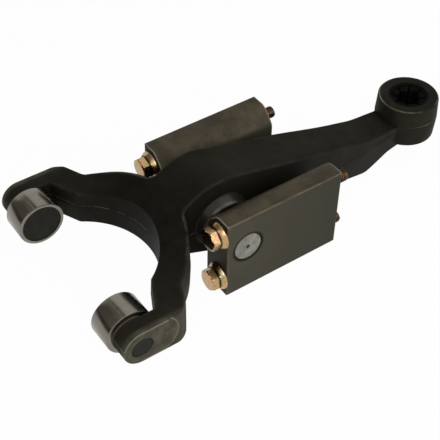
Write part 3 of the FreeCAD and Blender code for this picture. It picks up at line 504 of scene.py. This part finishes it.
# Studs, needles and cups
# Each roller turns on a headed stud, heat treated dark.
# The needles and their drawn cups are bright ground steel.
stud_dark, nodes, links, shader = new_material("dark_stud")
two_tone(nodes, links, shader, speckle(nodes, links, 160, 4, 0.6),
         (0.0075, 0.0072, 0.0048), (0.0165, 0.0158, 0.0115))
shader.inputs["Roughness"].default_value = 0.42
shader.inputs["Specular IOR Level"].default_value = 0.08
bump(nodes, links, shader, speckle(nodes, links, 700, 2), strength=0.1, distance=0.0002)
bearing_bright, nodes, links, shader = new_material("bearing_steel")
two_tone(nodes, links, shader, speckle(nodes, links, 240, 2), (0.30, 0.29, 0.27), (0.40, 0.39, 0.37))
shader.inputs["Metallic"].default_value = 1.0
shader.inputs["Roughness"].default_value = 0.3
for side in ("front", "rear"):
    dress(side + "_roller_stud", stud_dark)
    dress(side + "_roller_needles", bearing_bright)
    dress(side + "_hub_needles", bearing_bright)
    dress(side + "_needle_cup", bearing_bright)

# Seals and washers
# Moulded black seals and thrust washers on both sides of the hub.
# Behind each roller is a washer of brown resin.
moulded, nodes, links, shader = new_material("black_moulding")
two_tone(nodes, links, shader, speckle(nodes, links, 300, 3), (0.004, 0.004, 0.004), (0.009, 0.009, 0.008))
shader.inputs["Roughness"].default_value = 0.6
shader.inputs["Specular IOR Level"].default_value = 0.1
resin, nodes, links, shader = new_material("brown_resin")
two_tone(nodes, links, shader, speckle(nodes, links, 300, 3), (0.050, 0.043, 0.031), (0.085, 0.074, 0.055))
shader.inputs["Roughness"].default_value = 0.55
for side in ("front", "rear"):
    dress(side + "_hub_seal", moulded)
    dress(side + "_thrust_washer", moulded)
    dress(side + "_roller_washer", resin)

# Eye bush
# A black steel sleeve pressed into the eye.
# It holds a slotted spring insert that grips the rod's pin; both are darker than their own finish as painted shade of
# the eye's recess.
oxide, nodes, links, shader = new_material("shaded_black_oxide")
# Black oxide, made darker still as painted shade of the recess.
two_tone(nodes, links, shader, speckle(nodes, links, 200, 4), (0.0025, 0.0025, 0.0028), (0.006, 0.006, 0.0065))
shader.inputs["Roughness"].default_value = 0.5
shader.inputs["Specular IOR Level"].default_value = 0.03
bump(nodes, links, shader, speckle(nodes, links, 600, 3), strength=0.15, distance=0.0002)
dress("eye_sleeve", oxide)
spring, nodes, links, shader = new_material("spring_insert")
# Dark spring steel, made darker still as painted shade deep in the eye.
two_tone(nodes, links, shader, speckle(nodes, links, 180, 4), (0.0012, 0.0011, 0.0010), (0.0034, 0.0032, 0.0030))
shader.inputs["Roughness"].default_value = 0.42
shader.inputs["Specular IOR Level"].default_value = 0.03
bump(nodes, links, shader, speckle(nodes, links, 600, 3), strength=0.15, distance=0.0002)
dress("eye_insert", spring)

# Floor, background and light
# A white ground that keeps a faint soft shadow, under the plain light of a studio tent.
# Flags on the left, above and on the right show only as bands in the metal.
floor_half, floor_drop, floor_share, world_level = 6.0, 0.0002, 0.97, 0.5
floor_mesh = bpy.data.meshes.new("floor")
floor = bpy.data.objects.new("floor", floor_mesh)
bpy.context.scene.collection.objects.link(floor)
builder = bmesh.new()
bmesh.ops.create_grid(builder, x_segments=1, y_segments=1, size=floor_half)
builder.to_mesh(floor_mesh)
builder.free()
floor.location.z = -floor_drop


def white_seen_directly(nodes, links, lit, output, share):
    """Camera and mirror rays meet white in this share, and all other light comes from the given shader."""
    path = nodes.new("ShaderNodeLightPath")
    seen = reckon(nodes, links, "MAXIMUM", path.outputs["Is Camera Ray"],
                  reckon(nodes, links, "MAXIMUM", path.outputs["Is Glossy Ray"], path.outputs["Is Transmission Ray"]))
    white = nodes.new("ShaderNodeEmission")
    white.inputs["Strength"].default_value = 1.0
    mix = nodes.new("ShaderNodeMixShader")
    links.new(reckon(nodes, links, "MULTIPLY", seen, share), mix.inputs["Fac"])
    links.new(lit, mix.inputs[1])
    links.new(white.outputs[0], mix.inputs[2])
    links.new(mix.outputs[0], output)


paper, nodes, links, shader = new_material("white_paper")
two_tone(nodes, links, shader, speckle(nodes, links, 3, 2), (0.88, 0.88, 0.88), (0.92, 0.92, 0.92), low=0.0, high=1.0)
shader.inputs["Roughness"].default_value = 0.9
white_seen_directly(nodes, links, shader.outputs[0], nodes["Material Output"].inputs["Surface"], floor_share)
floor_mesh.materials.append(paper)

world = bpy.data.worlds.new("studio")
bpy.context.scene.world = world
world.use_nodes = True
nodes, links = world.node_tree.nodes, world.node_tree.links
background = nodes["Background"]
background.inputs["Color"].default_value = (1, 1, 1, 1)
background.inputs["Strength"].default_value = world_level
white_seen_directly(nodes, links, background.outputs[0], nodes["World Output"].inputs["Surface"], 1.0)

# The flags run along y, as the shaft and the rollers do, so their edges show as straight bands on both.
flag_near, flag_far, flag_foot = -0.05, 1.7, 0.21
wall_left, wall_right, ceiling = -0.80, 1.20, 1.04
gap_left, strip_left, strip_right = -0.30, -0.234, -0.05
right_foot, right_top = 0.16, 0.95


def flag(name, start, end, shade):
    """One flat card between two places given as x and z, long in y, that only reflections show."""
    card, nodes, links, shader = new_material(name)
    dull = tuple(share * shade for share in (1.0, 0.97, 0.90))
    bright = tuple(share * 1.15 for share in dull)
    two_tone(nodes, links, shader, speckle(nodes, links, 3, 2), dull, bright, low=0.0, high=1.0)
    shader.inputs["Roughness"].default_value = 0.95
    builder = bmesh.new()
    corners = [(start[0], flag_near, start[1]), (end[0], flag_near, end[1]),
               (end[0], flag_far, end[1]), (start[0], flag_far, start[1])]
    builder.faces.new([builder.verts.new(corner) for corner in corners])
    card_mesh = bpy.data.meshes.new(name)
    builder.to_mesh(card_mesh)
    builder.free()
    card_mesh.materials.append(card)
    board = bpy.data.objects.new(name, card_mesh)
    board.visible_camera = False
    bpy.context.scene.collection.objects.link(board)


flag("low_left_flag", (wall_left, 0.0), (wall_left, flag_foot), 0.015)
flag("left_flag", (wall_left, flag_foot), (wall_left, ceiling), 0.36)
flag("upper_left_flag", (wall_left, ceiling), (gap_left, ceiling), 0.60)
flag("dark_strip", (strip_left, ceiling), (strip_right, ceiling), 0.015)
flag("right_flag", (wall_right, right_foot), (wall_right, right_top), 0.03)


lamp_target = Vector((0, 0, 0.03))


def lamp(name, place, size, power):
    """A square area lamp that faces the part."""
    light = bpy.data.lights.new(name, "AREA")
    light.size = size
    light.energy = power
    holder = bpy.data.objects.new(name, light)
    holder.location = place
    holder.rotation_euler = (lamp_target - Vector(place)).to_track_quat("-Z", "Y").to_euler()
    bpy.context.scene.collection.objects.link(holder)


lamp("key_light", (-0.7, -1.1, 1.3), size=0.9, power=13)
lamp("fill_light", (1.0, -1.2, 0.8), size=1.2, power=7)

# Camera
# Placed where the straight edges of the blocks and the two prongs say that the photograph was taken.
# Its focal length is given in pixels, for a picture of the width below.
focal_pixels, picture_width, film_width = 1054.6, 440, 36.0
camera = bpy.data.cameras.new("photo_camera")
camera.sensor_width = film_width
camera.lens = focal_pixels / picture_width * film_width
camera.clip_start = 0.01
viewer = bpy.data.objects.new("photo_camera", camera)
eye_place = Vector((-0.38335, -0.48361, 0.60259))
look_at = Vector((-0.02659, 0.01371, 0.0))
roll = math.radians(1.01)
turn = (look_at - eye_place).to_track_quat("-Z", "Y").to_matrix() @ Matrix.Rotation(roll, 3, "Z")
viewer.matrix_world = Matrix.Translation(eye_place) @ turn.to_4x4()
bpy.context.scene.collection.objects.link(viewer)
bpy.context.scene.camera = viewer
bpy.context.scene.view_settings.view_transform = "Standard"
